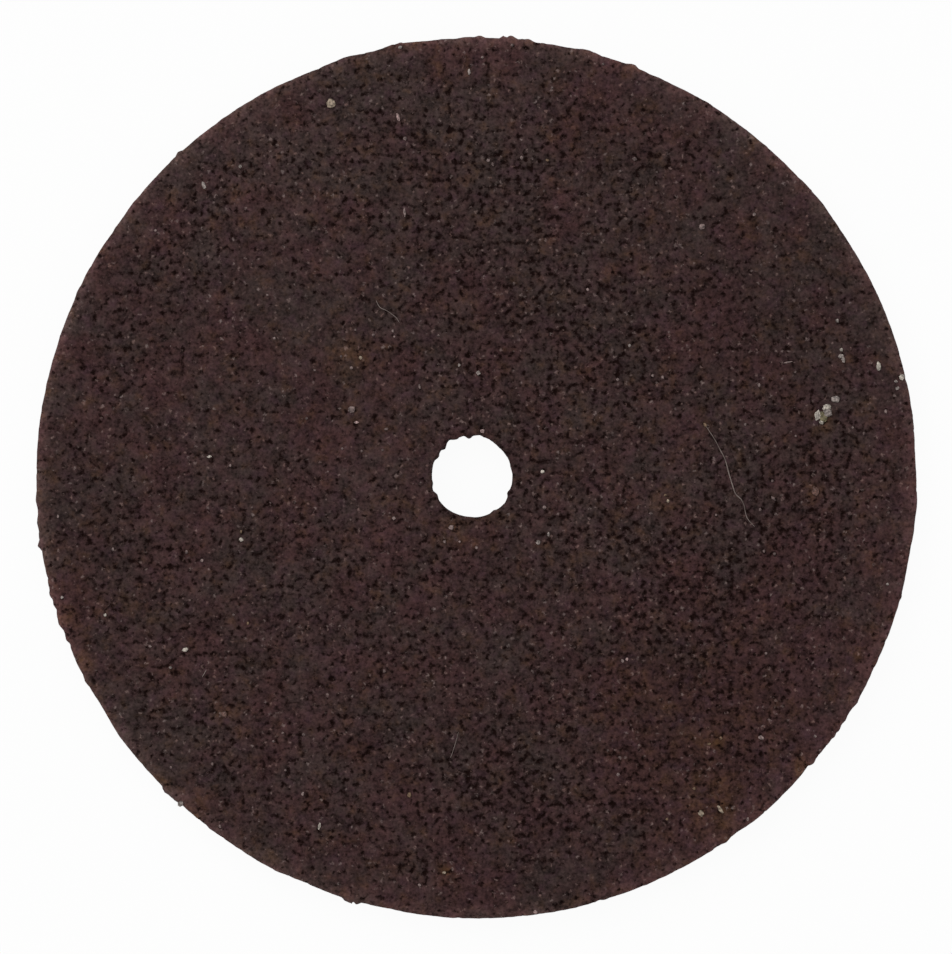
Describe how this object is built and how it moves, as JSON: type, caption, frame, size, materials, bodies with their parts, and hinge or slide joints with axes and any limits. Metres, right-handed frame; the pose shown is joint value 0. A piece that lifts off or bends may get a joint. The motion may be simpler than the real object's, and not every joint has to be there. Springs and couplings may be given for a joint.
{
  "type": "cut-off wheel",
  "caption": "Thin flat disc of resin-bonded abrasive with a small bore at its centre, spun on the screw mandrel of a small rotary tool to cut off metal and other hard stock.",
  "frame": {"origin": "axis of the bore, on the face that the wheel lies on", "axes": "+Z along the bore, up from the face that the wheel lies on; +X to the right and +Y up as the picture shows the wheel"},
  "size_m": [0.024, 0.024, 0.001],
  "materials": {
    "bonded_abrasive": "matte"
  },
  "bodies": {
    "root": {"abrasive_wheel": "bonded_abrasive"}
  },
  "joints": []
}
